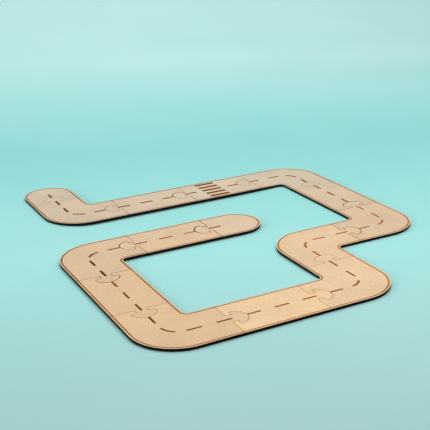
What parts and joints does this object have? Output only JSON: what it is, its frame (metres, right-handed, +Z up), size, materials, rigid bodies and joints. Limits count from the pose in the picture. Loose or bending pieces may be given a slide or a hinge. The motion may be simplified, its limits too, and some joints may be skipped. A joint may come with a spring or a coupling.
{
  "type": "jigsaw road track",
  "caption": "Winding toy road of flat laser-cut board plates that lock by jigsaw tabs, with engraved edge lines, lane dashes, a zebra crossing and round ends.",
  "frame": {"origin": "centre of the laid track's rectangle, on the surface that the plates lie on", "axes": "+Z up through the road face, +Y along the track's long side towards the end cap with the socket, +X across it towards the side with the zebra crossing"},
  "size_m": [0.3902, 0.4806, 0.003],
  "materials": {
    "laser_cut_board": "bare medium-density fibreboard, matt, with brown laser engraving and charred black cut edges"
  },
  "bodies": {
    "end_cap_tab": {"end_cap_tab": "laser_cut_board"},
    "straight_1": {"straight_1": "laser_cut_board"},
    "corner_left_1": {"corner_left_1": "laser_cut_board"},
    "straight_2": {"straight_2": "laser_cut_board"},
    "corner_left_2": {"corner_left_2": "laser_cut_board"},
    "straight_3": {"straight_3": "laser_cut_board"},
    "corner_left_3": {"corner_left_3": "laser_cut_board"},
    "corner_right_1": {"corner_right_1": "laser_cut_board"},
    "corner_left_4": {"corner_left_4": "laser_cut_board"},
    "straight_4": {"straight_4": "laser_cut_board"},
    "corner_left_5": {"corner_left_5": "laser_cut_board"},
    "crossing_straight": {"crossing_straight": "laser_cut_board"},
    "straight_5": {"straight_5": "laser_cut_board"},
    "corner_right_2": {"corner_right_2": "laser_cut_board"},
    "end_cap_socket": {"end_cap_socket": "laser_cut_board"}
  },
  "joints": [
    {"name": "lift_end_cap_tab", "type": "slide", "parent": "corner_right_1", "child": "end_cap_tab", "axis": [0, 0, 1], "range_m": [0, 0.02]},
    {"name": "lift_straight_1", "type": "slide", "parent": "corner_right_1", "child": "straight_1", "axis": [0, 0, 1], "range_m": [0, 0.02]},
    {"name": "lift_corner_left_1", "type": "slide", "parent": "corner_right_1", "child": "corner_left_1", "axis": [0, 0, 1], "range_m": [0, 0.02]},
    {"name": "lift_straight_2", "type": "slide", "parent": "corner_right_1", "child": "straight_2", "axis": [0, 0, 1], "range_m": [0, 0.02]},
    {"name": "lift_corner_left_2", "type": "slide", "parent": "corner_right_1", "child": "corner_left_2", "axis": [0, 0, 1], "range_m": [0, 0.02]},
    {"name": "lift_straight_3", "type": "slide", "parent": "corner_right_1", "child": "straight_3", "axis": [0, 0, 1], "range_m": [0, 0.02]},
    {"name": "lift_corner_left_3", "type": "slide", "parent": "corner_right_1", "child": "corner_left_3", "axis": [0, 0, 1], "range_m": [0, 0.02]},
    {"name": "lift_corner_left_4", "type": "slide", "parent": "corner_right_1", "child": "corner_left_4", "axis": [0, 0, 1], "range_m": [0, 0.02]},
    {"name": "lift_straight_4", "type": "slide", "parent": "corner_right_1", "child": "straight_4", "axis": [0, 0, 1], "range_m": [0, 0.02]},
    {"name": "lift_corner_left_5", "type": "slide", "parent": "corner_right_1", "child": "corner_left_5", "axis": [0, 0, 1], "range_m": [0, 0.02]},
    {"name": "lift_crossing_straight", "type": "slide", "parent": "corner_right_1", "child": "crossing_straight", "axis": [0, 0, 1], "range_m": [0, 0.02]},
    {"name": "lift_straight_5", "type": "slide", "parent": "corner_right_1", "child": "straight_5", "axis": [0, 0, 1], "range_m": [0, 0.02]},
    {"name": "lift_corner_right_2", "type": "slide", "parent": "corner_right_1", "child": "corner_right_2", "axis": [0, 0, 1], "range_m": [0, 0.02]},
    {"name": "lift_end_cap_socket", "type": "slide", "parent": "corner_right_1", "child": "end_cap_socket", "axis": [0, 0, 1], "range_m": [0, 0.02]}
  ]
}
